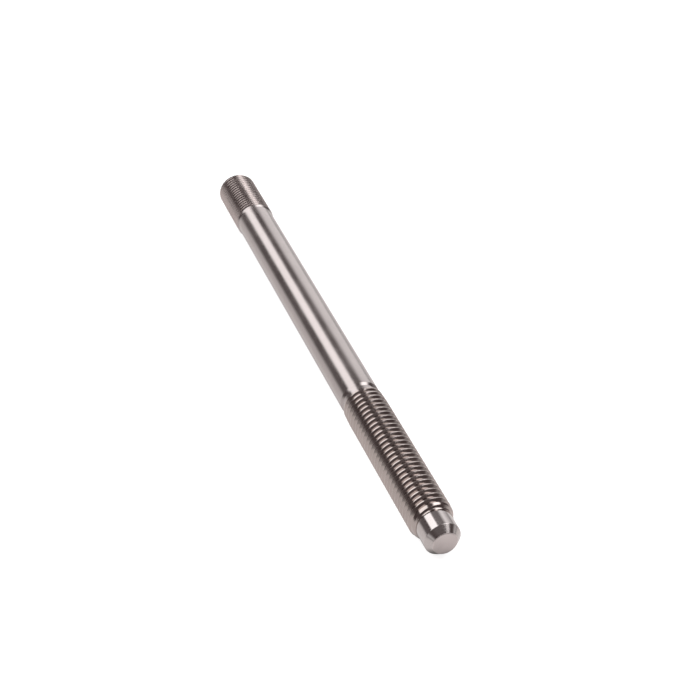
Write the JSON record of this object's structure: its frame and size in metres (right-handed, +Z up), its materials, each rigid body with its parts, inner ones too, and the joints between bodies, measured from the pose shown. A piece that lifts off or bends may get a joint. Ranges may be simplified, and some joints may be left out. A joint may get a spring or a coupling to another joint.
{
  "type": "double-ended stud",
  "caption": "Steel stud with a chamfered pilot nose and coarse thread at one end, a plain ground shank, and a fine thread at the other end.",
  "frame": {"origin": "centre of the flat end face of the nose, on the stud's axis", "axes": "+X along the stud's axis, from the nose towards the fine-threaded end; +Z up, with the stud lying flat"},
  "size_m": [0.1905, 0.0126, 0.0126],
  "materials": {
    "steel": "turned and ground bare steel, fine rings around the axis"
  },
  "bodies": {
    "root": {"stud": "steel"}
  },
  "joints": []
}
